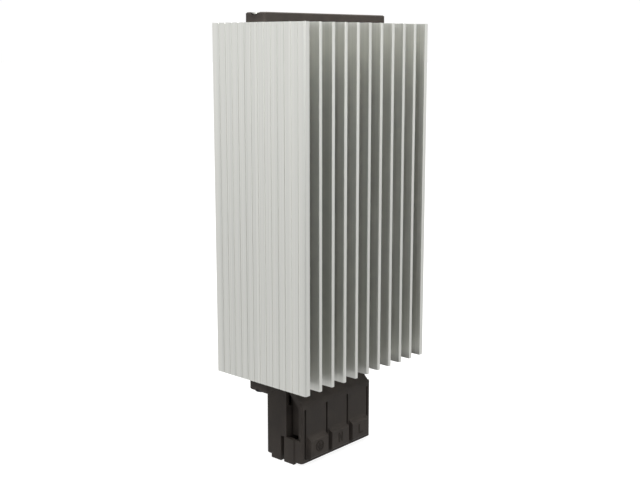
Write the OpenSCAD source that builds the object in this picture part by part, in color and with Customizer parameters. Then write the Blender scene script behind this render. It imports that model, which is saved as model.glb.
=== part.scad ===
// Finned enclosure heater that hangs on a 35 mm top-hat rail.
// X runs across the fins, Y from the fin tips (-Y) back to the rail (+Y), Z is up.
// The origin is the middle of the rail, on the plane where the rail's flanges seat.

/* [Extruded profile] */
// Width over the two side walls
profile_w = 70; // [64:1:84]
// Depth from the front fin tips to the rear fin tips
profile_d = 46; // [42:1:60]
// Length of the extrusion, which stands upright
profile_h = 131; // [124:1:221]
// Thickness of the two side walls
side_wall_t = 2.3; // [1.8:0.1:3]
// Thickness of the core that holds the heating pack
core_t = 10; // [9:0.5:12]
// Chamfer on the outer corners of the side walls
corner_chamfer = 0.5; // [0.2:0.1:0.8]

/* [Fins] */
// Number of fins between the side walls
fin_count = 9; // [7:2:11]
// Thickness of a fin at its tip
fin_tip_t = 1.5; // [1.2:0.1:1.8]
// Thickness of a fin where it meets the core
fin_root_t = 1.9; // [1.8:0.1:2.4]
// Depth of the front fins
front_fin_d = 20; // [16:1:24]
// Chamfer on the fin tips
fin_chamfer = 0.25; // [0.1:0.05:0.4]
// Chamfer where a fin meets the core
fin_root_chamfer = 0.6; // [0.3:0.1:0.8]

/* [Side wall grooves] */
// Number of grooves down each side wall
groove_count = 13; // [9:1:13]
// Distance between two grooves
groove_pitch = 3.23; // [2.6:0.01:3.3]
// Distance from the fin tips to the first groove
groove_first = 3.3; // [2:0.1:3.5]
// Width of a groove at the surface
groove_w = 0.45; // [0.3:0.05:1]
// Depth of a groove
groove_depth = 0.35; // [0.2:0.05:0.5]

/* [Heating pack] */
// Width of a tablet
tablet_w = 17; // [14:0.5:19]
// Height of a tablet
tablet_h = 24; // [18:0.5:24]
// Thickness of a tablet
tablet_t = 2.2; // [1.6:0.1:2.4]
// Width of the bars of the frame that spaces the tablets
frame_bar = 2; // [1.5:0.1:2.2]
// Thickness of an electrode strip
electrode_t = 0.5; // [0.4:0.1:0.7]
// Thickness of the insulating film
film_t = 0.3; // [0.2:0.05:0.4]

/* [Top cap and housing flange] */
// Thickness of the top cap
top_cap_t = 3.5; // [3.2:0.1:5]
// Thickness of the terminal housing's flange
flange_t = 4; // [3.5:0.1:5]
// Distance from the outside of the profile to the end of a cap
cap_inset = 1.25; // [0.8:0.05:1.6]
// Radius of a cap's upright corners
cap_corner_r = 1; // [0.6:0.1:1.6]
// Chamfer round the outer face of a cap
cap_chamfer = 0.4; // [0.2:0.1:0.6]
// Depth of the spigot under the top cap
spigot_h = 3; // [2:0.5:3.5]

/* [Cap screws] */
// Diameter of the screws that hold the caps
screw_d = 2.5; // [2:0.1:2.8]
// Diameter of a countersunk head
screw_head_d = 5.8; // [5:0.1:6]
// Length of a screw with its head
screw_len = 14; // [10:1:18]
// Distance from a screw to the end of its cap
screw_edge = 2.3; // [2.2:0.1:2.8]

/* [Terminal block] */
// Distance between two terminals
bay_pitch = 12.3; // [11.6:0.1:12.6]
// Width of the block outside the outer slits
end_margin = 2.4; // [2.2:0.1:2.8]
// Depth of the block without its press pads
block_d = 19.2; // [19:0.1:20]
// Height of the block under its flange
block_h = 31.3; // [31:0.1:34]
// Thickness of the housing's rear wall
rear_wall_t = 1.6; // [1.2:0.1:1.8]
// Thickness of the housing's bottom wall
bottom_wall_t = 3; // [2.6:0.1:3.2]
// Thickness of the walls between the terminals
partition_t = 1.2; // [0.8:0.1:1.4]
// Radius of the block's upright corners
block_corner_r = 2.5; // [1.5:0.1:2.8]
// Radius of a wire entry
entry_r = 1.9; // [1.6:0.1:2]

/* [Terminal cover] */
// Thickness of the cover's panel
panel_t = 2.2; // [1.8:0.1:2.6]
// Depth of the cover's side returns
return_d = 3.9; // [3.4:0.1:4.4]
// Thickness of the cover's side returns and wings
return_t = 1.4; // [1.2:0.1:1.5]
// Width of the slits beside the press tongues
slit_w = 0.9; // [0.5:0.1:1.1]
// Width of a press pad
pad_w = 10; // [9:0.1:10.4]
// Height of a press pad
pad_h = 9; // [8:0.1:9.6]
// Distance that a press pad stands proud of the panel
pad_out = 1.9; // [1.4:0.1:2.2]
// Distance that the bevel at the panel's top leads back
bevel_d = 4.6; // [4:0.1:4.9]
// Radius where the bevel turns into the panel
bevel_r = 3; // [1:0.5:4]
// Radius of the cover's upright corners
cover_corner_r = 1.2; // [0.8:0.1:1.8]
// Distance that the cover stands in behind its panel's edges, above the wings
end_inset = 0.7; // [0.4:0.1:0.8]

/* [Contacts and leads] */
// Thickness of a current bar
bar_t = 1; // [0.8:0.1:1.2]
// Thickness of a clamp spring
spring_t = 0.4; // [0.3:0.05:0.5]
// Width of a clamp spring
spring_w = 6; // [5:0.5:8]
// Radius of an insulated lead
lead_r = 0.9; // [0.7:0.05:0.95]

/* [Rail clip] */
// Width of the rail
rail_w = 35; // [35:0.5:36]
// Thickness of the rail's flanges
rail_t = 1; // [1:0.1:1.3]
// Distance that the rear fins stay clear of the rail
rail_gap = 0.5; // [0.3:0.1:0.8]
// Width of the clip
clip_w = 24; // [20:1:27]
// Thickness of the clip's spring steel
clip_t = 1.2; // [1:0.1:1.4]
// Width of the land that the clip sits on
land_w = 30; // [29:0.5:32]
// Thickness of the land
land_t = 3; // [2.5:0.1:4]
// Distance between the clip's two screws
clip_screw_pitch = 16; // [12:1:18]

/* [Hidden] */
$fn = 48;

// Heating tablets and terminals, which each have nodes of their own
tablet_count = 4;
bay_count = 3;

// Clearances: a sliding fit, a screw in its pilot hole and a screw in its clearance hole
fit = 0.1;
thread_fit = 0.05;
screw_clear = 0.3;
// Overlap that makes a cut pass right through a face
cut = 1;
// Swelling of a lead's insulation at a bend
bend_swell = 0.05;
// Faces round a bend of a folded strip
bend_steps = 8;

// Profile section, from the rail forwards
half_w = profile_w / 2;
rear_y = -rail_gap;
front_y = rear_y - profile_d;
core_front_y = front_y + front_fin_d;
core_rear_y = core_front_y + core_t;
core_y = (core_front_y + core_rear_y) / 2;
top_z = profile_h / 2;
bottom_z = -profile_h / 2;
fin_gap = (profile_w - 2 * side_wall_t - fin_count * fin_tip_t) / (fin_count + 1);
land_rear_y = -clip_t;
land_rib_count = 4;
function fin_x(i) = -half_w + side_wall_t + fin_gap * i + fin_tip_t * (i - 0.5);

// Heating pack, from the tablets outwards
tablet_gap = 1.5;
frame_w = tablet_w + 2 * fit + 2 * frame_bar;
frame_h = tablet_count * (tablet_h + 2 * fit) + (tablet_count - 1) * tablet_gap + 2 * frame_bar;
film_w = frame_w + 2 * fit + 2 * film_t;
film_d = tablet_t + 2 * electrode_t + 2 * film_t;
film_end_gap = 1;
cavity_w = film_w + 2 * fit;
cavity_d = film_d + 2 * fit;
tablet_pitch = tablet_h + 2 * fit + tablet_gap;
tab_w = 3;
tab_drop = 2.5;
line_tab_x = tablet_w / 2 - tab_w / 2;

// Caps and their screws
cap_w = profile_w - 2 * cap_inset;
cap_d = core_t - 2 * fit;
screw_x = cap_w / 2 - screw_edge;
screw_r = screw_d / 2;
port_r = screw_r + thread_fit;
hole_r = screw_r + screw_clear;
head_r = screw_head_d / 2;
head_h = head_r - screw_r;
head_seat = 0.1;

// Cross recess in every screw head
recess_span = 3;
recess_w = 0.8;
recess_depth = 0.9;

// Terminal block: distances back from its front plane and down from its top
block_w = bay_count * bay_pitch + 2 * end_margin;
block_front_y = core_y - block_d / 2;
block_top_z = bottom_z - flange_t;
step_drop = 21.2;
upper_front = 7.7;
lower_front = 10.6;
wing_back = 9;
floor_front = 9.8;
rear_step_d = 3.5;
rear_step_h = 1.5;
void_drop = 9;
void_wall_t = 1.6;
void_w = block_w - 2 * void_wall_t;
floor_drop = block_h - bottom_wall_t;
bay_w = bay_pitch - partition_t;
rear_inner = block_d - rear_wall_t;
entry_off = 3.6;
entry_back = block_d / 2 + entry_off;
entry_flare = 0.7;
bays_w = bay_count * bay_pitch - partition_t;
lip_t = 1;
lip_in = 1;
lip_gap = 1.4;
web_t = 1.2;
function bay_x(i) = (i - (bay_count - 1) / 2) * bay_pitch;

// Lead window in the flange
earth_gap = 3.5;
earth_x = -(cavity_w / 2 + earth_gap);
lug_r = 3;
lug_t = 0.8;
window_gap = 0.4;
window_x0 = earth_x - lug_r - window_gap;
window_x1 = cavity_w / 2 + 2 * window_gap;
window_d = 7.2;

// Terminal cover: its rim ends above the block's bottom
rim_up = 1;
rim_drop = block_h - rim_up;
rim_t = 1.2;
cover_step = 0.3;
cover_w = block_w - 2 * cover_step;
cover_top_gap = 0.1;
bevel_top = 2.8;
bevel_drop = bevel_top + bevel_d;
tongue_gap = 0.3;
tongue_end = rim_drop - rim_t - tongue_gap - fit;
slit_lead = 1.6;
slit_top = bevel_drop + slit_lead;
slit_end = tongue_end + tongue_gap;
pad_end = tongue_end - fit;
pad_top = pad_end - pad_h;
shoulder_h = 1.6;
shoulder_turn = 60;
shoulder_step = 15;
pad_edge = 0.5;
panel_edge = 0.75;
wing_drop = step_drop + fit;
pusher_w = 2;
pusher_drop = 18.5;
pusher_h = 3;
pusher_end = pusher_drop + pusher_h;
tab_t = 0.8;
tab_len = 1.5;
tab_wide = 4;

// Contacts
bar_off = 0.5;
bar_back = block_d / 2 + bar_off;
bar_w = bay_w - 2 * fit;
bar_drop = void_drop + bar_off;
bar_tail_w = 4;
bar_tail_h = 4;
tail_drop = bar_drop - bar_tail_h;
bar_window_w = 4;
bar_window_h = 9;
bar_window_top = (pusher_drop + pusher_end - bar_window_h) / 2;
web_front = bar_back - fit - web_t;
pusher_back = bar_back + bar_t + fit;
spring_rear = rear_inner - spring_t / 2;
spring_tip_back = bar_back + bar_t + spring_t;
spring_gap = 4;
spring_top = void_drop + spring_gap;
fold_gap = 2;
spring_fold = floor_drop - fold_gap;
spring_fold_r = 1.5;
leaf_over = 1.5;
leaf_top = pusher_drop - leaf_over;
spring_bend_r = 0.8;
earth_screw_r = 1.25;
earth_head_r = 2.1;
earth_head_h = 1.8;
earth_screw_len = 8;
lug_tail_t = 0.8;
lug_tail_w = 3.6;
lead_off = lead_r + bend_swell;
lead_bend = 2;
lead_stub = 1.5;

// Rail clip, drawn as the centre line of the folded strip
rail_clear = 0.6;
hook_clear = 0.8;
slot_d = rail_t + rail_clear;
clip_mid_y = -clip_t / 2;
hook_z = rail_w / 2 + hook_clear + clip_t / 2;
lip_y = slot_d + clip_t / 2;
lip_over = 2.5;
foot_h = 6.5;
foot_z = -rail_w / 2 - foot_h;
foot_step = 1;
foot_y = lip_y + foot_step;
clip_bend_r = 1.2;
clip_screw_r = 1.5;
clip_head_r = 2.75;
clip_head_h = 1.2;
clip_screw_len = 6;

// Rectangle with round corners, centred on the origin
module rounded_rect(w, d, r) {
    square([w - 2 * r, d], center = true);
    square([w, d - 2 * r], center = true);
    for (sx = [-1, 1], sy = [-1, 1])
        translate([sx * (w / 2 - r), sy * (d / 2 - r)])
            circle(r);
}

// Side profile drawn in (back, down) distances, extruded across the block
module block_extrude(w, x = 0) {
    translate([x - w / 2, block_front_y, block_top_z])
        rotate([90, 0, 90])
            linear_extrude(height = w)
                mirror([0, 1])
                    children();
}

// Box given by its middle in X and its ranges back and down in the block
module block_box(x, w, back, down) {
    translate([x - w / 2, block_front_y + back[0], block_top_z - down[1]])
        cube([w, back[1] - back[0], down[1] - down[0]]);
}

// Direction from one point to the next, and that direction turned to its left
function heading(a, b) = (b - a) / norm(b - a);
function left_of(d) = [-d[1], d[0]];
function turned(v, angle) = v * cos(angle) + left_of(v) * sin(angle);

// Arc round a bend at p with centre-line radius r, set over to the left by off
function bend_arc(p, d1, d2, r, off) = let(
    turn = atan2(left_of(d1) * d2, d1 * d2),
    inward = sign(turn) * left_of(d1),
    centre = p - d1 * r * tan(abs(turn) / 2) + inward * r
) [
    for (k = [0 : bend_steps])
        centre - turned(inward, turn * k / bend_steps) * (r - sign(turn) * off)
];

// One edge of a folded strip, set over to the left of its centre line by off
function strip_edge(points, r, off) = let(
    last = len(points) - 1,
    first_side = left_of(heading(points[0], points[1])),
    last_side = left_of(heading(points[last - 1], points[last]))
) [
    points[0] + off * first_side,
    for (i = [1 : last - 1])
        let(d1 = heading(points[i - 1], points[i]), d2 = heading(points[i], points[i + 1]))
            each bend_arc(points[i], d1, d2, r, off),
    points[last] + off * last_side
];

// Section of a strip of thickness t that is folded along a list of points with bends of radius r
module strip(points, t, r) {
    right_edge = strip_edge(points, r, -t / 2);
    polygon([
        each strip_edge(points, r, t / 2),
        for (i = [len(right_edge) - 1 : -1 : 0])
            right_edge[i]
    ]);
}

// Round wire between two upright ends, with a slanted stretch and swollen bends
module wire(points, r) {
    v = points[2] - points[1];
    for (i = [0, 2])
        translate([points[i][0], points[i][1], points[i + 1][2]])
            cylinder(r = r, h = points[i][2] - points[i + 1][2]);
    translate(points[1])
        rotate([0, acos(v[2] / norm(v)), atan2(v[1], v[0])])
            cylinder(r = r - bend_swell, h = norm(v));
    for (i = [1, 2])
        translate(points[i])
            sphere(r + bend_swell);
}

// Fin section with its root on the X axis and its tip towards +Y
module fin_section(depth) {
    tip = fin_tip_t / 2;
    root = fin_root_t / 2;
    foot = root + fin_root_chamfer;
    polygon([
        [-foot, -cut],
        [foot, -cut],
        [foot, 0],
        [root, fin_root_chamfer],
        [tip, depth - fin_chamfer],
        [tip - fin_chamfer, depth],
        [fin_chamfer - tip, depth],
        [-tip, depth - fin_chamfer],
        [-root, fin_root_chamfer],
        [-foot, 0]
    ]);
}

// Right-hand side wall with its grooved outer face
module side_wall_section() {
    difference() {
        polygon([
            [half_w - side_wall_t, front_y],
            [half_w - corner_chamfer, front_y],
            [half_w, front_y + corner_chamfer],
            [half_w, rear_y - corner_chamfer],
            [half_w - corner_chamfer, rear_y],
            [half_w - side_wall_t, rear_y]
        ]);
        for (i = [0 : groove_count - 1])
            translate([half_w, front_y + groove_first + i * groove_pitch])
                polygon([[-groove_depth, 0], [0, -groove_w / 2], [cut, 0], [0, groove_w / 2]]);
    }
}

// Land for the rail clip, carried by ribs from the core
module clip_land_section() {
    rib_span = land_w - fin_root_t;
    translate([-land_w / 2, land_rear_y - land_t])
        square([land_w, land_t]);
    for (i = [0 : land_rib_count - 1])
        translate([-land_w / 2 + i * rib_span / (land_rib_count - 1), core_rear_y - cut])
            square([fin_root_t, land_rear_y - core_rear_y - land_t + 2 * cut]);
}

module profile_section() {
    difference() {
        union() {
            side_wall_section();
            mirror([1, 0])
                side_wall_section();
            translate([-half_w + side_wall_t - cut, core_front_y])
                square([profile_w - 2 * side_wall_t + 2 * cut, core_t]);
            for (i = [1 : fin_count]) {
                translate([fin_x(i), core_front_y])
                    rotate(180)
                        fin_section(front_fin_d);
                if (abs(fin_x(i)) > land_w / 2 + fin_root_t)
                    translate([fin_x(i), core_rear_y])
                        fin_section(rear_y - core_rear_y);
            }
            clip_land_section();
        }
        translate([0, core_y])
            square([cavity_w, cavity_d], center = true);
        for (s = [-1, 1])
            translate([s * screw_x, core_y])
                circle(port_r);
    }
}

module heatsink_profile() {
    color("silver")
        difference() {
            translate([0, 0, bottom_z])
                linear_extrude(height = profile_h)
                    profile_section();
            translate([earth_x, core_y, bottom_z - cut])
                cylinder(r = earth_screw_r + thread_fit, h = earth_screw_len + cut);
            for (s = [-1, 1])
                translate([0, land_rear_y + cut, s * clip_screw_pitch / 2])
                    rotate([90, 0, 0])
                        cylinder(r = clip_screw_r + thread_fit, h = land_t + 2 * cut);
        }
}

// Plate over the core with a chamfered outer face, towards +Z
module cap_plate(t) {
    hull() {
        linear_extrude(height = t - cap_chamfer)
            rounded_rect(cap_w, cap_d, cap_corner_r, $fn = 32);
        linear_extrude(height = t)
            rounded_rect(cap_w - 2 * cap_chamfer, cap_d - 2 * cap_chamfer, cap_corner_r, $fn = 32);
    }
}

// Countersunk holes at both ends of a cap whose outer face is at height t
module cap_holes(t) {
    for (s = [-1, 1])
        translate([s * screw_x, 0, 0]) {
            translate([0, 0, -cut])
                cylinder(r = hole_r, h = t + 2 * cut);
            translate([0, 0, t - head_seat - head_h])
                cylinder(r1 = screw_r + fit, r2 = head_r + fit, h = head_h);
            translate([0, 0, t - head_seat])
                cylinder(r = head_r + fit, h = cut);
        }
}

// Pair of countersunk screws with their heads flush in a cap of thickness t
module cap_screw_pair(t) {
    for (s = [-1, 1])
        translate([s * screw_x, 0, t - head_seat])
            difference() {
                union() {
                    translate([0, 0, -head_h])
                        cylinder(r1 = screw_r, r2 = head_r, h = head_h);
                    translate([0, 0, -screw_len])
                        cylinder(r = screw_r, h = screw_len - head_h / 2);
                }
                cross_recess();
            }
}

// Cross recess in a screw head whose top is at Z = 0
module cross_recess() {
    for (a = [0, 90])
        rotate(a)
            cube([recess_span, recess_w, 2 * recess_depth], center = true);
}

module top_cap() {
    color("#2e2c2a")
        translate([0, core_y, top_z])
            difference() {
                union() {
                    cap_plate(top_cap_t);
                    translate([0, 0, -spigot_h / 2 + cut / 2])
                        cube([cavity_w - 2 * fit, cavity_d - 2 * fit, spigot_h + cut], center = true);
                }
                cap_holes(top_cap_t);
            }
}

module top_cap_screws() {
    color("lightgray")
        translate([0, core_y, top_z])
            cap_screw_pair(top_cap_t);
}

// Outside of the housing: stepped side profile with rounded rear corners
module housing_body() {
    intersection() {
        block_extrude(block_w)
            polygon([
                [upper_front, 0],
                [upper_front, step_drop],
                [lower_front, step_drop],
                [lower_front, block_h],
                [block_d - rear_step_d, block_h],
                [block_d - rear_step_d, block_h - rear_step_h],
                [block_d, block_h - rear_step_h],
                [block_d, 0]
            ]);
        translate([0, core_y, block_top_z - block_h - cut])
            linear_extrude(height = block_h + 2 * cut)
                rounded_rect(block_w, block_d, block_corner_r);
    }
    block_box(0, bays_w - partition_t, [floor_front, lower_front + cut], [floor_drop, block_h]);
}

module wire_entries() {
    for (i = [0 : bay_count - 1])
        translate([bay_x(i), block_front_y + entry_back, block_top_z - block_h]) {
            translate([0, 0, -cut])
                cylinder(r = entry_r, h = bottom_wall_t + 2 * cut);
            translate([0, 0, -entry_flare])
                cylinder(r1 = entry_r + 2 * entry_flare, r2 = entry_r, h = 2 * entry_flare);
        }
}

// Pockets in the housing's floor for the cover's tabs
module tab_row(grow) {
    for (i = [0 : bay_count - 2])
        block_box(
            (bay_x(i) + bay_x(i + 1)) / 2,
            tab_wide + 2 * grow,
            [floor_front - cut, floor_front + tab_len + grow],
            [rim_drop - rim_t / 2 - tab_t / 2 - grow, rim_drop - rim_t / 2 + tab_t / 2 + grow]
        );
}

// Lip at each side behind the gap between cover and housing, drawn parallel to the cover's inside
module side_lips() {
    front = panel_t + lip_gap;
    top_front = bevel_d + panel_t + lip_gap / 2;
    bend = bevel_drop + panel_t / 2;
    for (s = [-1, 1])
        block_extrude(lip_t, s * (bays_w / 2 - lip_in - lip_t / 2))
            polygon([
                [front, step_drop],
                [front, bend],
                [top_front, bend - top_front + front],
                [web_front + fit, bend - top_front + front],
                [web_front + fit, step_drop]
            ]);
}

// Window for the pusher, in the web and in the bar behind it
module bar_window(i, back) {
    block_box(bay_x(i), bar_window_w, back, [bar_window_top, bar_window_top + bar_window_h]);
}

// Web that carries each current bar from the front
module bar_webs() {
    span = [bar_drop + bar_off, floor_drop + fit];
    for (i = [0 : bay_count - 1])
        difference() {
            block_box(bay_x(i), bay_w + 2 * fit, [web_front, bar_back - fit], span);
            bar_window(i, [web_front - cut, bar_back + cut]);
        }
}

module terminal_housing() {
    color("#2e2c2a")
        union() {
            difference() {
                union() {
                    translate([0, core_y, bottom_z])
                        mirror([0, 0, 1])
                            cap_plate(flange_t);
                    housing_body();
                }
                for (i = [0 : bay_count - 1])
                    block_box(bay_x(i), bay_w, [upper_front - 2 * cut, rear_inner], [-cut / 2, floor_drop]);
                block_box(0, void_w, [upper_front - 2 * cut, rear_inner], [0, void_drop]);
                translate([window_x0, core_y - window_d / 2, block_top_z - cut])
                    cube([window_x1 - window_x0, window_d, flange_t + 2 * cut]);
                translate([0, core_y, bottom_z])
                    mirror([0, 0, 1])
                        cap_holes(flange_t);
                wire_entries();
                tab_row(fit);
            }
            side_lips();
            bar_webs();
        }
}

module housing_screws() {
    color("#3a3a3c")
        translate([0, core_y, bottom_z])
            mirror([0, 0, 1])
                cap_screw_pair(flange_t);
}

// Cover section: top lip, bevel, panel and floor
module cover_section() {
    low = [0, rim_drop];
    bend = [0, bevel_drop];
    high = [bevel_d, bevel_top];
    polygon([
        low,
        each bend_arc(bend, heading(low, bend), heading(bend, high), bevel_r, 0),
        high,
        [bevel_d, cover_top_gap],
        [bevel_d + panel_t, cover_top_gap],
        [bevel_d + panel_t, bevel_top + panel_t / 2],
        [panel_t, bevel_drop + panel_t / 2],
        [panel_t, rim_drop - rim_t],
        [floor_front - 3 * fit, rim_drop - rim_t],
        [floor_front - 3 * fit, rim_drop]
    ]);
}

// Press pad section with a hollow shoulder above it
module pad_section() {
    shoulder_end = pad_top + shoulder_h;
    polygon([
        [panel_t / 2, pad_end],
        [-pad_out + pad_edge, pad_end],
        [-pad_out, pad_end - pad_edge],
        [-pad_out, shoulder_end + pad_edge],
        [-pad_out + pad_edge, shoulder_end],
        for (a = [shoulder_turn : -shoulder_step : 0])
            [pad_out * (cos(a) - 1), pad_top + shoulder_h * sin(a)],
        [panel_t / 2, pad_top]
    ]);
}

// Cover with rounded front corners, ends that stand in behind the panel, side returns and lower wings
module cover_body() {
    inset_x = cover_w / 2 - end_inset + cut;
    return_x = (cover_w - return_t) / 2;
    difference() {
        intersection() {
            union() {
                block_extrude(cover_w)
                    cover_section();
                for (s = [-1, 1])
                    block_box(s * return_x, return_t, [0, return_d + fit], [wing_drop, rim_drop]);
            }
            translate([0, core_y, block_top_z - block_h - cut])
                linear_extrude(height = block_h + 2 * cut)
                    rounded_rect(cover_w, block_d, cover_corner_r);
        }
        for (s = [-1, 1])
            block_box(s * inset_x, 2 * cut, [panel_edge, block_d], [-cut, wing_drop]);
    }
    for (s = [-1, 1])
        block_box(s * (block_w - return_t) / 2, return_t, [return_d, wing_back], [wing_drop, block_h]);
}

module terminal_cover() {
    color("#34312e")
        union() {
            difference() {
                cover_body();
                for (i = [0 : bay_count])
                    block_box(bay_x(i - 0.5), slit_w, [-cut, panel_t + cut], [slit_top, slit_end]);
                block_box(0, bay_count * bay_pitch, [-cut, panel_t + fit], [tongue_end, slit_end]);
            }
            for (i = [0 : bay_count - 1]) {
                block_extrude(pad_w, bay_x(i))
                    pad_section();
                block_box(bay_x(i), pusher_w, [panel_t / 2, pusher_back], [pusher_drop, pusher_end]);
            }
            tab_row(0);
        }
}

module insulating_film() {
    film_h = profile_h - 2 * (spigot_h + film_end_gap);
    color("#c8902c")
        translate([0, core_y, 0])
            linear_extrude(height = film_h, center = true)
                difference() {
                    square([film_w, film_d], center = true);
                    square([film_w - 2 * film_t, film_d - 2 * film_t], center = true);
                }
}

// Electrode strip on one side of the tablets (front -1, rear 1) with a tab at its lower end
module electrode(side, tab_x) {
    tab_z = block_top_z - tab_drop;
    y = core_y + side * (tablet_t + electrode_t) / 2;
    translate([-tablet_w / 2, y - electrode_t / 2, bottom_z])
        cube([tablet_w, electrode_t, frame_h / 2 - bottom_z]);
    translate([tab_x - tab_w / 2, y - electrode_t / 2, tab_z])
        cube([tab_w, electrode_t, bottom_z - tab_z + cut]);
}

module electrode_line() {
    color("#d9d2c0")
        electrode(-1, line_tab_x);
}

module electrode_neutral() {
    color("#d9d2c0")
        electrode(1, 0);
}

function tablet_z(i) = (i - (tablet_count - 1) / 2) * tablet_pitch;

module tablet_frame() {
    color("#e6e0d2")
        translate([0, core_y, 0])
            difference() {
                cube([frame_w, tablet_t, frame_h], center = true);
                for (i = [0 : tablet_count - 1])
                    translate([0, 0, tablet_z(i)])
                        cube([tablet_w + 2 * fit, tablet_t + cut, tablet_h + 2 * fit], center = true);
            }
}

module tablet(i) {
    color("#8c8478")
        translate([0, core_y, tablet_z(i)])
            cube([tablet_w, tablet_t, tablet_h], center = true);
}

// Current bar of one terminal: a plate on the housing's floor with a window for the pusher
module current_bar(i) {
    color("#b87333")
        difference() {
            union() {
                block_box(bay_x(i), bar_w, [bar_back, bar_back + bar_t], [bar_drop, floor_drop]);
                block_box(bay_x(i), bar_tail_w, [bar_back, bar_back + bar_t], [tail_drop, bar_drop + cut]);
            }
            bar_window(i, [bar_back - cut, bar_back + bar_t + cut]);
        }
}

// Clamp spring of one terminal: its back lies on the rear wall and its leaf reaches for the bar
module clamp_spring(i) {
    color("lightgray")
        block_extrude(spring_w, bay_x(i))
            strip([
                [spring_rear, spring_top],
                [spring_rear, spring_fold - spring_fold_r],
                [spring_rear - spring_fold_r, spring_fold],
                [spring_tip_back, leaf_top]
            ], spring_t, spring_bend_r);
}

// Point in the block from its X and its distances back and down
function block_point(x, back, down) = [x, block_front_y + back, block_top_z - down];

// Lead from a tab at (x, back) down to the front of a current bar
module lead(i, x, back) {
    bar_face = bar_back - lead_off;
    color("#b8322a")
        wire([
            block_point(x, back, lead_bend - lead_stub),
            block_point(x, back, lead_bend),
            block_point(bay_x(i), bar_face, tail_drop - lead_off),
            block_point(bay_x(i), bar_face, bar_drop)
        ], lead_r);
}

module lead_line() {
    lead(2, line_tab_x, block_d / 2 - tablet_t / 2 + lead_off);
}

module lead_neutral() {
    lead(1, 0, block_d / 2 + tablet_t / 2 - lead_off);
}

module lead_earth() {
    lead(0, earth_x, block_d / 2 + lug_r - lug_tail_t - lead_off);
}

// Ring lug under the core with a tail bent down through the flange
module earth_lug() {
    color("#d8b65c")
        translate([earth_x, core_y, bottom_z]) {
            difference() {
                translate([0, 0, -lug_t])
                    cylinder(r = lug_r, h = lug_t);
                translate([0, 0, -lug_t - cut])
                    cylinder(r = earth_screw_r + screw_clear, h = lug_t + 2 * cut);
            }
            translate([-lug_tail_w / 2, lug_r - lug_tail_t, -flange_t - tab_drop])
                cube([lug_tail_w, lug_tail_t, flange_t + tab_drop]);
        }
}

// Pan-head screw with its head's inner face at Z = 0 and its shank towards +Z
module pan_screw(r, head_r, head_h, len) {
    difference() {
        union() {
            cylinder(r = r, h = len);
            translate([0, 0, -head_h])
                cylinder(r = head_r, h = head_h);
        }
        translate([0, 0, -head_h])
            cross_recess();
    }
}

module earth_screw() {
    color("lightgray")
        translate([earth_x, core_y, bottom_z - lug_t])
            pan_screw(earth_screw_r, earth_head_r, earth_head_h, earth_screw_len);
}

// Folded strip: hook over the rail's top edge, base on the land, sprung foot under the rail
module rail_clip() {
    color("gainsboro")
        difference() {
            translate([-clip_w / 2, 0, 0])
                rotate([90, 0, 90])
                    linear_extrude(height = clip_w)
                        strip([
                            [lip_y, rail_w / 2 - lip_over],
                            [lip_y, hook_z],
                            [clip_mid_y, hook_z],
                            [clip_mid_y, foot_z],
                            [foot_y, foot_z],
                            [foot_y, -rail_w / 2 - foot_step],
                            [lip_y, -rail_w / 2 + lip_over / 2]
                        ], clip_t, clip_bend_r);
            for (s = [-1, 1])
                translate([0, cut, s * clip_screw_pitch / 2])
                    rotate([90, 0, 0])
                        cylinder(r = clip_screw_r + screw_clear, h = clip_t + 2 * cut);
        }
}

module clip_screws() {
    color("lightgray")
        for (s = [-1, 1])
            translate([0, 0, s * clip_screw_pitch / 2])
                rotate([90, 0, 0])
                    pan_screw(clip_screw_r, clip_head_r, clip_head_h, clip_screw_len);
}

heatsink_profile();
top_cap();
top_cap_screws();
terminal_housing();
housing_screws();
terminal_cover();
insulating_film();
electrode_line();
electrode_neutral();
tablet_frame();
tablet(0);  // tablet_1
tablet(1);  // tablet_2
tablet(2);  // tablet_3
tablet(3);  // tablet_4
current_bar(0);  // current_bar_earth
current_bar(1);  // current_bar_neutral
current_bar(2);  // current_bar_line
clamp_spring(0);  // clamp_spring_earth
clamp_spring(1);  // clamp_spring_neutral
clamp_spring(2);  // clamp_spring_line
lead_earth();
lead_neutral();
lead_line();
earth_lug();
earth_screw();
rail_clip();
clip_screws();
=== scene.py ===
"""Looks of a finned enclosure heater: finishes, moulded pad marks, light table, lights and camera."""

import logging
import math
from collections.abc import Iterable
from dataclasses import dataclass, field
from enum import Enum

import bmesh
import bpy
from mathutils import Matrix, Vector


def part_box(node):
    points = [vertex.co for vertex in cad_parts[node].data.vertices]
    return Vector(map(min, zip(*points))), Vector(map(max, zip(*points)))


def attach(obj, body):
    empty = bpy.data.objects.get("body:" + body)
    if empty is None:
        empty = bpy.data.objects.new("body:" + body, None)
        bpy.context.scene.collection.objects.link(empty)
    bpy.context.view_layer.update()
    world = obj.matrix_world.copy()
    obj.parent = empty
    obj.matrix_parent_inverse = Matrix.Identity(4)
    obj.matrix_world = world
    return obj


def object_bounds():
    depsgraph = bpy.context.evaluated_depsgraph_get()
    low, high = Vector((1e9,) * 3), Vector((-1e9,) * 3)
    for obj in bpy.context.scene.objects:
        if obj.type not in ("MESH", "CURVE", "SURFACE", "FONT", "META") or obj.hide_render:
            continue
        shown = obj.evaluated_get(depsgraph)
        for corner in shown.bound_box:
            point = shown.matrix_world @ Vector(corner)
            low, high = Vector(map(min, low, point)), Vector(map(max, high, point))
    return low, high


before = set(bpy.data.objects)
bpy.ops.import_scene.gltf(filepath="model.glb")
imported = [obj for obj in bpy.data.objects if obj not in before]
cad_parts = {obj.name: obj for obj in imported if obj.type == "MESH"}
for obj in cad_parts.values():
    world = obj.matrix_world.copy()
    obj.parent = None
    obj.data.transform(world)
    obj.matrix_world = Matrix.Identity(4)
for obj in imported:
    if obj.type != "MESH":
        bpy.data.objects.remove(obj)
CAD_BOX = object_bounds()

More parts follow.
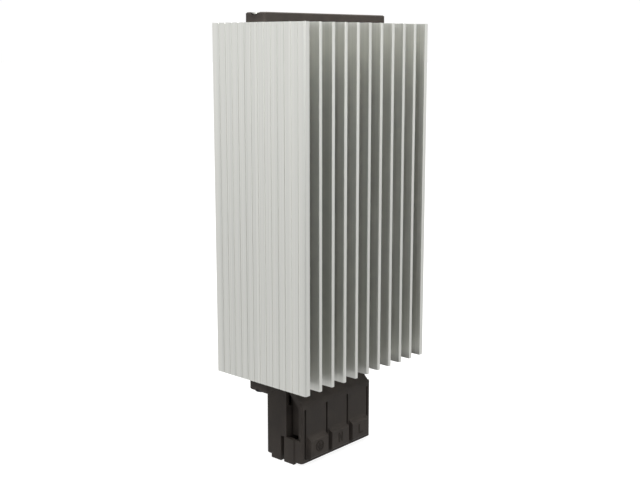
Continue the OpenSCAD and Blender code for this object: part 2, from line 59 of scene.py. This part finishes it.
LOG = logging.getLogger("enclosure_heater")
MM = 0.001
ROOT = "root"
IMAGE_W = 640
IMAGE_H = 480
SENSOR_MM = 36.0

# The sockets of a mix node repeat their names, so they go by number.
MIX_SHARE = 0
NUMBER_A = 2
NUMBER_B = 3
COLOUR_A = 6
COLOUR_B = 7
MIXED_NUMBER = 0
MIXED_COLOUR = 2

# Middle value of a noise pattern
PATTERN_MID = 0.5
# Noise scale of a pattern that its mapping has already brought to size
AS_MAPPED = 1.0
# Turn that brings a camera from looking straight down to looking level
LEVEL_DEG = 90.0

Colour = tuple[float, float, float, float]
Place = tuple[float, float, float]
Outline = list[tuple[float, float]]
Inputs = dict[str | int, object]


def linear(hex_code: str) -> Colour:
    """Turns an sRGB hex colour to a linear one.

    Args:
        hex_code: Colour such as "#c8c7c3".

    Returns:
        Linear red, green and blue, with an alpha of 1.
    """
    parts = [int(hex_code[i : i + 2], 16) / 255 for i in (1, 3, 5)]
    red, green, blue = (c / 12.92 if c <= 0.04045 else ((c + 0.055) / 1.055) ** 2.4 for c in parts)
    return red, green, blue, 1.0


def per_metre(*sizes_mm: float) -> tuple[float, ...]:
    """Turns a pattern's sizes in millimetres to its counts per metre."""
    return tuple(1 / (size * MM) for size in sizes_mm)


def add(
    tree: bpy.types.NodeTree,
    kind: str,
    inputs: Inputs | None = None,
    **settings: object,
) -> bpy.types.Node:
    """Adds a node with its settings, and sets or links its inputs.

    Args:
        tree: Node tree that takes the node.
        kind: Blender's name for the node.
        inputs: Values or output sockets, by input name or number.
        settings: Properties of the node itself.

    Returns:
        The new node.
    """
    made = tree.nodes.new(kind)
    for name, value in settings.items():
        setattr(made, name, value)
    for key, value in (inputs or {}).items():
        if isinstance(value, bpy.types.NodeSocket):
            tree.links.new(value, made.inputs[key])
        else:
            made.inputs[key].default_value = value
    return made


def enter(name: str, data: bpy.types.ID) -> bpy.types.Object:
    """Brings data into the scene as an object.

    Args:
        name: Name of the object.
        data: Its mesh, light or camera.

    Returns:
        The new object.
    """
    thing = bpy.data.objects.new(name, data)
    bpy.context.scene.collection.objects.link(thing)
    return thing


def settle(name: str, mesh: bmesh.types.BMesh) -> bpy.types.Object:
    """Brings a finished mesh into the scene, and frees it.

    Args:
        name: Name of the object and its data.
        mesh: The finished mesh.

    Returns:
        The new object.
    """
    data = bpy.data.meshes.new(name)
    mesh.to_mesh(data)
    mesh.free()
    return enter(name, data)


@dataclass(frozen=True)
class Finish:
    """A named surface that builds its own material around one Principled shader."""

    name: str

    def build(self) -> bpy.types.Material:
        """Makes the material.

        Returns:
            The finished material.
        """
        material = bpy.data.materials.new(self.name)
        material.use_nodes = True
        tree = material.node_tree
        tree.nodes.clear()
        shader = add(tree, "ShaderNodeBsdfPrincipled", self.surface(tree))
        add(tree, "ShaderNodeOutputMaterial", {"Surface": shader.outputs["BSDF"]})
        return material

    def surface(self, tree: bpy.types.NodeTree) -> Inputs:
        """Draws the surface, and gives values and links for the shader's inputs."""
        raise NotImplementedError


@dataclass(frozen=True)
class PatternedFinish(Finish):
    """A surface in two close tones, whose pattern also varies its gloss and its height."""

    bright: str
    dull: str
    roughness: float
    # How far from its middle value a pattern is all dull or all bright
    tone_reach: float = 0.15
    # Change of roughness from a pattern's middle to its high values; these are smoother where it is negative
    rough_swing: float = 0.05
    # How far from its middle value a pattern has all of that change
    rough_reach: float = 0.2
    relief_mm: float = 0.01
    relief_strength: float = 0.5

    def lay(
        self,
        tree: bpy.types.NodeTree,
        tone: bpy.types.NodeSocket,
        gloss: bpy.types.NodeSocket,
        relief: bpy.types.NodeSocket,
    ) -> Inputs:
        """Lays patterns on the surface.

        Args:
            tree: The material's node tree.
            tone: Pattern of the colour.
            gloss: Pattern of the roughness.
            relief: Pattern of the height.

        Returns:
            Links for the shader's colour, roughness and normal.
        """
        share = add(
            tree,
            "ShaderNodeMapRange",
            {
                "Value": tone,
                "From Min": PATTERN_MID - self.tone_reach,
                "From Max": PATTERN_MID + self.tone_reach,
            },
        )
        colour = add(
            tree,
            "ShaderNodeMix",
            {MIX_SHARE: share.outputs[0], COLOUR_A: linear(self.dull), COLOUR_B: linear(self.bright)},
            data_type="RGBA",
        )
        rough = add(
            tree,
            "ShaderNodeMapRange",
            {
                "Value": gloss,
                "From Min": PATTERN_MID - self.rough_reach,
                "From Max": PATTERN_MID + self.rough_reach,
                "To Min": self.roughness - self.rough_swing,
                "To Max": self.roughness + self.rough_swing,
            },
        )
        bump = add(
            tree,
            "ShaderNodeBump",
            {"Height": relief, "Strength": self.relief_strength, "Distance": self.relief_mm * MM},
        )
        return {
            "Base Color": colour.outputs[MIXED_COLOUR],
            "Roughness": rough.outputs[0],
            "Normal": bump.outputs[0],
        }


@dataclass(frozen=True)
class ExtrudedAluminium(PatternedFinish):
    """Natural aluminium pushed through a die: die lines run its whole length, and its ends are sawn."""

    bright: str = "#ecece7"
    dull: str = "#dadbd6"
    roughness: float = 0.43
    tone_reach: float = 0.14
    rough_swing: float = 0.06
    relief_mm: float = 0.012
    # Real die lines are some 0.05 mm apart; these are drawn coarser so that they show in the render.
    line_mm: float = 0.5
    # Far longer than the extrusion, so that each line runs straight through
    line_length_mm: float = 1600.0
    band_mm: float = 3.2
    band_share: float = 0.45
    saw_mm: float = 0.6
    saw_length_mm: float = 40.0
    # Finer layers in each pattern
    line_detail: float = 3.0
    band_detail: float = 1.0
    saw_detail: float = 2.0
    # Upright part of a face's normal from which it begins to be, and is all, a sawn end
    end_from: float = 0.85
    end_full: float = 0.95

    def surface(self, tree: bpy.types.NodeTree) -> Inputs:
        """Draws die lines in bands along the extrusion, and saw lines on its ends.

        Args:
            tree: The material's node tree.

        Returns:
            Values and links for the shader's inputs.
        """
        place = add(tree, "ShaderNodeTexCoord").outputs["Object"]
        die_scale = per_metre(self.line_mm, self.line_mm, self.line_length_mm)
        saw_scale = per_metre(self.saw_length_mm, self.saw_mm, self.saw_length_mm)
        along = add(tree, "ShaderNodeMapping", {"Vector": place, "Scale": die_scale}).outputs[0]
        across = add(tree, "ShaderNodeMapping", {"Vector": place, "Scale": saw_scale}).outputs[0]
        streak = add(
            tree,
            "ShaderNodeTexNoise",
            {"Vector": along, "Scale": AS_MAPPED, "Detail": self.line_detail},
        )
        band = add(
            tree,
            "ShaderNodeTexNoise",
            {"Vector": along, "Scale": self.line_mm / self.band_mm, "Detail": self.band_detail},
        )
        saw = add(
            tree,
            "ShaderNodeTexNoise",
            {"Vector": across, "Scale": AS_MAPPED, "Detail": self.saw_detail},
        )
        normal = add(tree, "ShaderNodeNewGeometry").outputs["True Normal"]
        upright = add(tree, "ShaderNodeSeparateXYZ", {"Vector": normal}).outputs["Z"]
        level = add(tree, "ShaderNodeMath", {0: upright}, operation="ABSOLUTE")
        sawn = add(
            tree,
            "ShaderNodeMapRange",
            {"Value": level.outputs[0], "From Min": self.end_from, "From Max": self.end_full},
        )
        lines = add(
            tree,
            "ShaderNodeMix",
            {MIX_SHARE: sawn.outputs[0], NUMBER_A: streak.outputs[0], NUMBER_B: saw.outputs[0]},
        ).outputs[MIXED_NUMBER]
        tone = add(
            tree,
            "ShaderNodeMix",
            {MIX_SHARE: self.band_share, NUMBER_A: lines, NUMBER_B: band.outputs[0]},
        ).outputs[MIXED_NUMBER]
        return {**self.lay(tree, tone=tone, gloss=lines, relief=lines), "Metallic": 1.0}


@dataclass(frozen=True)
class MouldedPolyamide(PatternedFinish):
    """Black glass-filled polyamide from a spark-eroded mould: satin, with faint flow clouds."""

    bright: str = "#3c3733"
    dull: str = "#322e2b"
    roughness: float = 0.55
    rough_swing: float = 0.07
    relief_mm: float = 0.012
    relief_strength: float = 0.6
    ior: float = 1.53
    gloss: float = 0.12
    # Real mould grain is about 0.1 mm; it is drawn coarser so that it shows in the render.
    grain_mm: float = 0.35
    grain_share: float = 0.35
    flow_mm: float = 7.0
    flow_bend: float = 0.6
    grain_detail: float = 2.0
    flow_detail: float = 3.0

    def surface(self, tree: bpy.types.NodeTree) -> Inputs:
        """Draws a fine even grain over soft clouds, as the melt left them.

        Args:
            tree: The material's node tree.

        Returns:
            Values and links for the shader's inputs.
        """
        place = add(tree, "ShaderNodeTexCoord").outputs["Object"]
        grain_scale, flow_scale = per_metre(self.grain_mm, self.flow_mm)
        grain = add(
            tree,
            "ShaderNodeTexNoise",
            {"Vector": place, "Scale": grain_scale, "Detail": self.grain_detail},
        ).outputs[0]
        flow = add(
            tree,
            "ShaderNodeTexNoise",
            {
                "Vector": place,
                "Scale": flow_scale,
                "Detail": self.flow_detail,
                "Distortion": self.flow_bend,
            },
        ).outputs[0]
        tone = add(
            tree,
            "ShaderNodeMix",
            {MIX_SHARE: self.grain_share, NUMBER_A: flow, NUMBER_B: grain},
        ).outputs[MIXED_NUMBER]
        patterns = self.lay(tree, tone=tone, gloss=flow, relief=grain)
        return {**patterns, "IOR": self.ior, "Specular IOR Level": self.gloss}


class Rolling(Enum):
    """Direction in which a strip was rolled, as the axis that its lines follow."""

    ALONG_Z = 2
    NONE = None


@dataclass(frozen=True)
class RolledMetal(PatternedFinish):
    """Rolled, plated or stamped metal with faint lines along the rolling direction, or small spangles."""

    bright: str = "#d8d8d6"
    dull: str = "#b4b4b2"
    roughness: float = 0.3
    tone_reach: float = 0.2
    rough_swing: float = -0.08
    relief_mm: float = 0.006
    relief_strength: float = 0.4
    rolling: Rolling = Rolling.NONE
    # Rolling lines are some 0.02 mm apart; these are drawn coarser so that they show in a close view.
    line_mm: float = 0.25
    line_length_mm: float = 12.0
    line_detail: float = 2.0

    def surface(self, tree: bpy.types.NodeTree) -> Inputs:
        """Draws fine lines along the strip or, where it wasn't rolled, spangles of the same width.

        Args:
            tree: The material's node tree.

        Returns:
            Values and links for the shader's inputs.
        """
        place = add(tree, "ShaderNodeTexCoord").outputs["Object"]
        sizes = [self.line_mm] * 3
        if self.rolling is not Rolling.NONE:
            sizes[self.rolling.value] = self.line_length_mm
        along = add(tree, "ShaderNodeMapping", {"Vector": place, "Scale": per_metre(*sizes)}).outputs[0]
        lines = add(
            tree,
            "ShaderNodeTexNoise",
            {"Vector": along, "Scale": AS_MAPPED, "Detail": self.line_detail},
        ).outputs[0]
        return {**self.lay(tree, tone=lines, gloss=lines, relief=lines), "Metallic": 1.0}


@dataclass(frozen=True)
class MottledBody(PatternedFinish):
    """Ceramic, film, silicone or filled plastic of an inner piece, with a soft mottle."""

    relief_mm: float = 0.02
    relief_strength: float = 0.4
    ior: float = 1.5
    mottle_mm: float = 0.6
    mottle_detail: float = 4.0

    def surface(self, tree: bpy.types.NodeTree) -> Inputs:
        """Draws a quiet mottle.

        Args:
            tree: The material's node tree.

        Returns:
            Values and links for the shader's inputs.
        """
        place = add(tree, "ShaderNodeTexCoord").outputs["Object"]
        (scale,) = per_metre(self.mottle_mm)
        mottle = add(
            tree,
            "ShaderNodeTexNoise",
            {"Vector": place, "Scale": scale, "Detail": self.mottle_detail},
        ).outputs[0]
        return {**self.lay(tree, tone=mottle, gloss=mottle, relief=mottle), "IOR": self.ior}


@dataclass(frozen=True)
class LitAcrylic(Finish):
    """White acrylic lit from below, so that nothing on it throws a hard shadow."""

    colour: str = "#6e6e6c"
    roughness: float = 0.6
    light: str = "#ffffff"
    glow: float = 0.9

    def surface(self, tree: bpy.types.NodeTree) -> Inputs:
        """Sets an even pale glow.

        Args:
            tree: The material's node tree.

        Returns:
            Values for the shader's inputs.
        """
        return {
            "Base Color": linear(self.colour),
            "Roughness": self.roughness,
            "Emission Color": linear(self.light),
            "Emission Strength": self.glow,
        }


@dataclass(frozen=True)
class FlockedCard(Finish):
    """Flocked card, as is hung in a studio to take light away."""

    colour: str = "#7c7c7c"
    roughness: float = 0.9
    gloss: float = 0.1

    def surface(self, tree: bpy.types.NodeTree) -> Inputs:
        """Sets a dull even tone.

        Args:
            tree: The material's node tree.

        Returns:
            Values for the shader's inputs.
        """
        return {
            "Base Color": linear(self.colour),
            "Roughness": self.roughness,
            "Specular IOR Level": self.gloss,
        }


# Extruded aluminium, left natural: a pale satin metal with fine upright streaks and matt saw-cut ends
NATURAL_ALUMINIUM = ExtrudedAluminium("natural_aluminium_extruded")
# Moulded polyamide: a warm black with a fine even grain and soft clouds of gloss
BLACK_POLYAMIDE = MouldedPolyamide("black_polyamide_moulded")
# The same polyamide with a duller gloss and a darker colour, which is painted shade on the raised signs
SIGN_POLYAMIDE_PAINTED_SHADE = MouldedPolyamide("black_polyamide_matt_painted_shade", "#322e2a", "#2a2623", roughness=0.7, gloss=0.1)
# Zinc-plated steel: a clear pale sheen with small cloudy spangles
ZINC_STEEL = RolledMetal("zinc_plated_steel", "#dcdcd8", "#b9bab8")
# Steel blackened in a hot bath: a deep grey with a soft sheen
BLACKED_STEEL = RolledMetal("black_oxide_steel", "#3c3c3f", "#2a2a2c", roughness=0.42)
# Rolled spring steel, left bare: a mid-grey satin with fine lines along the strip
CLIP_STEEL = RolledMetal("spring_steel_rolled", "#cfcfcc", "#a8a8a6", roughness=0.34, rolling=Rolling.ALONG_Z)
# Bright-rolled spring steel: a clearer and paler sheen than the clip's
CLAMP_STEEL = RolledMetal("spring_steel_bright", roughness=0.25, rolling=Rolling.ALONG_Z)
# Brass strip, stamped: a warm yellow sheen with fine lines along the strip
BRASS = RolledMetal("brass_stamped", "#d8b872", "#b8934c", roughness=0.28, rolling=Rolling.ALONG_Z)
# Rolled aluminium strip: a pale even sheen with fine lines along the strip
ALUMINIUM_STRIP = RolledMetal("aluminium_strip_rolled", "#dededb", "#c6c6c3", rolling=Rolling.ALONG_Z)
# Cast polyimide film: a smooth amber
AMBER_FILM = MottledBody("polyimide_film_cast", "#c8821f", "#a86412", roughness=0.3, ior=1.7)
# Glass-filled plastic, moulded without pigment: a dull cream
CREAM_PLASTIC = MottledBody("glass_filled_frame_moulded", "#e2dbc9", "#cfc6b0", roughness=0.55)
# Fired barium titanate: a matt brown-grey ceramic
FIRED_CERAMIC = MottledBody("barium_titanate_fired", "#8c8478", "#6f685e", roughness=0.75)
# Extruded silicone sleeve: a soft brick red
RED_SILICONE = MottledBody("silicone_sleeve_extruded", "#b23a30", "#942c24", roughness=0.5, ior=1.43)
# Acrylic sheet lit from below: an even white ground
WHITE_ACRYLIC = LitAcrylic("white_acrylic_lit")
# Flocked card: a dull grey that shows only as dark lines in reflections
GREY_CARD = FlockedCard("grey_flocked_card")


def cad(*names: str) -> list[bpy.types.Object]:
    """Gives the CAD pieces of these names."""
    return [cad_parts[name] for name in names]


def coat(pieces: Iterable[bpy.types.Object], finish: Finish) -> None:
    """Gives pieces one finish.

    Args:
        pieces: CAD pieces, or pieces made here.
        finish: Finish for all of them.
    """
    material = finish.build()
    for piece in pieces:
        piece.data.materials.clear()
        piece.data.materials.append(material)
        LOG.info("coated %s with %s", piece.name, material.name)


@dataclass(frozen=True)
class SoftEdge:
    """The small rounding that a tumbler or a deburring tool leaves on a metal's sharp edges."""

    width_mm: float
    # Edges that turn by more than this are rounded.
    angle_deg: float
    steps: int = 2
    weld_mm: float = 0.001
    # Faces that turn by less than this are first made one.
    flat_deg: float = 1.0
    # Edges that still turn by more than this are shaded as edges.
    crisp_deg: float = 12.0

    def build(self, piece: bpy.types.Object) -> None:
        """Rounds a piece's edges with modifiers.

        Args:
            piece: The piece, whose own mesh stays as it is.
        """
        weld = piece.modifiers.new("joined_faces", "WELD")
        weld.merge_threshold = self.weld_mm * MM
        flat = piece.modifiers.new("whole_faces", "DECIMATE")
        flat.decimate_type = "DISSOLVE"
        flat.angle_limit = math.radians(self.flat_deg)
        bevel = piece.modifiers.new("soft_edges", "BEVEL")
        bevel.width = self.width_mm * MM
        bevel.segments = self.steps
        bevel.limit_method = "ANGLE"
        bevel.angle_limit = math.radians(self.angle_deg)
        crisp = piece.modifiers.new("crisp_faces", "EDGE_SPLIT")
        crisp.split_angle = math.radians(self.crisp_deg)


class Mark(Enum):
    """Generic signs moulded on the press pads, from left to right."""

    EARTH = "mark_earth"
    NEUTRAL = "mark_neutral"
    LINE = "mark_line"


@dataclass
class PadMarks:
    """Raised signs on the three press pads."""

    letter_w_mm: float = 2.4
    letter_h_mm: float = 3.8
    stroke_mm: float = 0.5
    # Upright thickness of the slanting stroke in the N
    slant_mm: float = 1.1
    # Diameter of the middle of the ring round the earth sign
    ring_mm: float = 3.9
    ring_steps: int = 48
    # Level and width of the earth sign's bars, from the top one, and the level that its stem reaches
    earth_bars_mm: tuple[tuple[float, float], ...] = ((0.1, 2.6), (-0.6, 1.7), (-1.3, 0.8))
    earth_top_mm: float = 1.25
    raised_mm: float = 0.2
    sunk_mm: float = 0.1
    # Height of the signs' middles over the lower edge of the cover
    pad_mid_mm: float = 6.8
    pad_pitch_mm: float = 12.3
    made: list[bpy.types.Object] = field(default_factory=list)

    def bar(self, level_mm: float, width_mm: float) -> Outline:
        """Gives the outline of one bar of the earth sign.

        Args:
            level_mm: Height of the bar's middle over the sign's middle.
            width_mm: Width of the bar.

        Returns:
            Its corners, from the lower left one round to the upper left one.
        """
        half = self.stroke_mm / 2
        reach = width_mm / 2
        low, high = level_mm - half, level_mm + half
        return [(-reach, low), (reach, low), (reach, high), (-reach, high)]

    def outlines(self, mark: Mark) -> list[Outline]:
        """Gives the outlines of a sign's strokes.

        Args:
            mark: Which sign.

        Returns:
            Closed outlines, across and up from the sign's middle, in millimetres.
        """
        right = self.letter_w_mm / 2
        top = self.letter_h_mm / 2
        inner = right - self.stroke_mm
        if mark is Mark.LINE:
            foot = self.stroke_mm - top
            lower = [(-right, -top), (right, -top), (right, foot), (-inner, foot)]
            return [lower + [(-inner, top), (-right, top)]]
        if mark is Mark.NEUTRAL:
            slant = top - self.slant_mm
            lower = [(-right, -top), (-inner, -top), (-inner, slant), (inner, -top), (right, -top)]
            return [lower + [(-x, -z) for x, z in lower]]
        top_bar, *lower_bars = [self.bar(level, width) for level, width in self.earth_bars_mm]
        upper_left = top_bar.pop()
        foot = upper_left[1]
        half = self.stroke_mm / 2
        stem = [(half, foot), (half, self.earth_top_mm), (-half, self.earth_top_mm), (-half, foot)]
        return [top_bar + stem + [upper_left], *lower_bars]

    def raise_outline(self, mesh: bmesh.types.BMesh, outline: Outline) -> None:
        """Raises a closed outline from the pad.

        Args:
            mesh: Mesh that takes the shape.
            outline: Its corners in order.
        """
        low, high = (
            [mesh.verts.new((x * MM, depth * MM, z * MM)) for x, z in outline]
            for depth in (self.sunk_mm, -self.raised_mm)
        )
        for k in range(len(outline)):
            mesh.faces.new((low[k - 1], low[k], high[k], high[k - 1]))
        mesh.faces.new(low)
        mesh.faces.new(high)

    def raise_ring(self, mesh: bmesh.types.BMesh) -> None:
        """Raises the ring round the earth sign.

        Args:
            mesh: Mesh that takes the ring.
        """
        inside = (self.ring_mm - self.stroke_mm) / 2
        outside = (self.ring_mm + self.stroke_mm) / 2
        section = (
            (inside, self.sunk_mm),
            (outside, self.sunk_mm),
            (outside, -self.raised_mm),
            (inside, -self.raised_mm),
        )
        loops = []
        for k in range(self.ring_steps):
            turn = math.tau * k / self.ring_steps
            across, up = math.cos(turn) * MM, math.sin(turn) * MM
            loops.append([mesh.verts.new((r * across, depth * MM, r * up)) for r, depth in section])
        for k, loop in enumerate(loops):
            for j in range(len(section)):
                mesh.faces.new((loop[j - 1], loop[j], loops[k - 1][j], loops[k - 1][j - 1]))

    def build(self) -> None:
        """Makes the three signs on the pads' fronts."""
        low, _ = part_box("terminal_cover")
        for steps_from_middle, mark in enumerate(Mark, start=-1):
            mesh = bmesh.new()
            for outline in self.outlines(mark):
                self.raise_outline(mesh, outline)
            if mark is Mark.EARTH:
                self.raise_ring(mesh)
            bmesh.ops.recalc_face_normals(mesh, faces=mesh.faces)
            piece = settle(mark.value, mesh)
            across = steps_from_middle * self.pad_pitch_mm * MM
            piece.location = (across, low.y, low.z + self.pad_mid_mm * MM)
            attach(piece, ROOT)
            self.made.append(piece)
            LOG.info("made %s", piece.name)

    def dress(self) -> None:
        """Gives the signs the cover's plastic with a duller gloss, in a darker colour that is painted shade.
        """
        coat(self.made, SIGN_POLYAMIDE_PAINTED_SHADE)


class Assembly:
    """A group of pieces that is first shaped and then given its finishes."""

    def build(self) -> None:
        """Leaves the pieces as CAD made them, unless a group shapes its own."""

    def dress(self) -> None:
        """Gives the pieces their finishes."""
        raise NotImplementedError


@dataclass
class Heatsink(Assembly):
    """The finned extrusion."""

    profile: str = "heatsink_profile"
    # As wide as the narrow faces of the grooves allow without a fold
    edge: SoftEdge = SoftEdge(width_mm=0.05, angle_deg=50.0)

    def build(self) -> None:
        """Breaks the edges that the saw left."""
        for piece in cad(self.profile):
            self.edge.build(piece)

    def dress(self) -> None:
        """Leaves the extrusion's metal natural."""
        coat(cad(self.profile), NATURAL_ALUMINIUM)


@dataclass
class BlackMouldings(Assembly):
    """Top cap, terminal housing and terminal cover, with the marks on its pads."""

    nodes: tuple[str, ...] = ("top_cap", "terminal_housing", "terminal_cover")
    marks: PadMarks = field(default_factory=PadMarks)

    def build(self) -> None:
        """Makes the marks, and leaves the mouldings the edges that CAD gave them."""
        self.marks.build()

    def dress(self) -> None:
        """Gives the mouldings and their marks their black plastic."""
        coat(cad(*self.nodes), BLACK_POLYAMIDE)
        self.marks.dress()


@dataclass
class Fixings(Assembly):
    """Screws and the folded rail clip."""

    bright_screws: tuple[str, ...] = ("top_cap_screws", "clip_screws", "earth_screw")
    black_screws: str = "housing_screws"
    clip: str = "rail_clip"
    edge: SoftEdge = SoftEdge(width_mm=0.1, angle_deg=40.0)

    def build(self) -> None:
        """Rounds the edges of the stamped clip and the screw heads."""
        for piece in cad(*self.bright_screws, self.black_screws, self.clip):
            self.edge.build(piece)

    def dress(self) -> None:
        """Gives screws and clip their steels."""
        coat(cad(*self.bright_screws), ZINC_STEEL)
        coat(cad(self.black_screws), BLACKED_STEEL)
        coat(cad(self.clip), CLIP_STEEL)


@dataclass
class HeatingPack(Assembly):
    """Film, contact strips, frame and heating tablets inside the extrusion's core."""

    film: str = "insulating_film"
    strips: tuple[str, ...] = ("electrode_line", "electrode_neutral")
    spacer: str = "tablet_frame"
    tablets: int = 4

    def dress(self) -> None:
        """Gives each layer of the pack its material."""
        coat(cad(self.film), AMBER_FILM)
        coat(cad(*self.strips), ALUMINIUM_STRIP)
        coat(cad(self.spacer), CREAM_PLASTIC)
        coat(cad(*(f"tablet_{i + 1}" for i in range(self.tablets))), FIRED_CERAMIC)


@dataclass
class Terminals(Assembly):
    """Contact bars, clamp springs and leads, which show only through slits and entries."""

    poles: tuple[str, ...] = ("earth", "neutral", "line")
    lug: str = "earth_lug"

    def dress(self) -> None:
        """Gives contacts, springs and leads their materials."""
        coat(cad(*(f"current_bar_{pole}" for pole in self.poles), self.lug), BRASS)
        coat(cad(*(f"clamp_spring_{pole}" for pole in self.poles)), CLAMP_STEEL)
        coat(cad(*(f"lead_{pole}" for pole in self.poles)), RED_SILICONE)


@dataclass(frozen=True)
class Softbox:
    """One square softbox, in metres and watts."""

    name: str
    place: Place
    aim: Place
    side: float
    power: float

    def build(self) -> None:
        """Hangs the softbox and turns it to its aim."""
        light = bpy.data.lights.new(self.name, "AREA")
        light.shape = "SQUARE"
        light.size = self.side
        light.energy = self.power
        lamp = enter(self.name, light)
        lamp.location = self.place
        lamp.rotation_euler = (Vector(self.aim) - Vector(self.place)).to_track_quat("-Z", "Y").to_euler()
        LOG.info("hung %s", self.name)


@dataclass
class Studio:
    """Pale light table, grey card, white surround and two softboxes, in metres."""

    table_radius: float = 8.0
    table_steps: int = 96
    table_gap: float = 0.2 * MM
    card_w: float = 1.7
    card_h: float = 1.0
    card_place: Place = (-0.82, -0.88, 0.1)
    # Brightness of the surround from straight down, at 0, by way of the horizon, at 0.5, to overhead, at 1
    surround: tuple[tuple[float, float], ...] = (
        (0.0, 0.9),
        (0.12, 0.72),
        (0.32, 0.76),
        (0.4, 0.4),
        (0.48, 1.0),
        (0.53, 1.02),
        (0.6, 0.86),
        (0.7, 0.45),
        (0.85, 0.4),
        (1.0, 1.5),
    )
    softboxes: tuple[Softbox, ...] = (
        Softbox("top_softbox", place=(-0.21, -0.21, 0.8), aim=(0.0, -0.02, 0.0), side=0.6, power=21.0),
        Softbox("left_softbox", place=(-0.7, -0.4, 0.35), aim=(0.0, -0.02, -0.01), side=1.0, power=3.0),
    )

    def lay_table(self) -> None:
        """Lays the round table just under the object."""
        mesh = bmesh.new()
        bmesh.ops.create_circle(mesh, cap_ends=True, segments=self.table_steps, radius=self.table_radius)
        table = settle("light_table", mesh)
        table.location = (0, 0, CAD_BOX[0].z - self.table_gap)
        table.visible_diffuse = False
        table.visible_glossy = False
        coat([table], WHITE_ACRYLIC)

    def hang_card(self) -> None:
        """Hangs the card behind the camera, where it draws dark lines in grooves and along edges."""
        mesh = bmesh.new()
        bmesh.ops.create_grid(mesh, x_segments=1, y_segments=1, size=1)
        bmesh.ops.scale(mesh, vec=(self.card_w / 2, self.card_h / 2, 1), verts=mesh.verts)
        card = settle("grey_flag", mesh)
        card.location = self.card_place
        card.rotation_euler = (-Vector(self.card_place)).to_track_quat("Z", "Y").to_euler()
        card.visible_camera = False
        coat([card], GREY_CARD)

    def light_surround(self) -> None:
        """Makes the white surround, and shows tones as they are."""
        scene = bpy.context.scene
        scene.world = bpy.data.worlds.new("white_surround")
        scene.world.use_nodes = True
        tree = scene.world.node_tree
        tree.nodes.clear()
        aim = add(tree, "ShaderNodeTexCoord").outputs["Generated"]
        upright = add(tree, "ShaderNodeSeparateXYZ", {"Vector": aim}).outputs["Z"]
        height = add(tree, "ShaderNodeMapRange", {"Value": upright, "From Min": -1.0, "From Max": 1.0})
        ramp = add(tree, "ShaderNodeValToRGB", {"Fac": height.outputs[0]})
        stops = ramp.color_ramp.elements
        for place, _ in self.surround[1:-1]:
            stops.new(place)
        for stop, (_, level) in zip(stops, self.surround):
            stop.color = (level, level, level, 1)
        back = add(tree, "ShaderNodeBackground", {"Color": ramp.outputs["Color"]})
        add(tree, "ShaderNodeOutputWorld", {"Surface": back.outputs[0]})
        scene.view_settings.view_transform = "Standard"

    def build(self) -> None:
        """Sets up the studio round the object."""
        self.lay_table()
        self.hang_card()
        self.light_surround()
        for softbox in self.softboxes:
            softbox.build()


@dataclass
class PhotoCamera:
    """Camera at the photograph's viewing angle."""

    focal_px: float = 1031.8
    yaw_deg: float = 48.251
    pitch_deg: float = 9.873
    axis_row_px: float = 222.0
    place_mm: Place = (-292.59, -283.19, 58.53)

    def build(self) -> None:
        """Makes the camera and hands it to the scene."""
        data = bpy.data.cameras.new("photo_camera")
        data.sensor_width = SENSOR_MM
        data.lens = self.focal_px * SENSOR_MM / IMAGE_W
        data.shift_y = (self.axis_row_px - IMAGE_H / 2) / IMAGE_W
        camera = enter("photo_camera", data)
        camera.location = Vector(self.place_mm) * MM
        camera.rotation_euler = (math.radians(LEVEL_DEG - self.pitch_deg), 0, math.radians(-self.yaw_deg))
        bpy.context.scene.camera = camera
        LOG.info("placed %s", camera.name)


def main() -> None:
    """Builds and dresses every sub-assembly, then the studio and the camera."""
    logging.basicConfig(level=logging.INFO, format="%(name)s: %(message)s")
    for assembly in (Heatsink(), BlackMouldings(), Fixings(), HeatingPack(), Terminals()):
        assembly.build()
        assembly.dress()
    Studio().build()
    PhotoCamera().build()


if __name__ == "__main__":
    main()
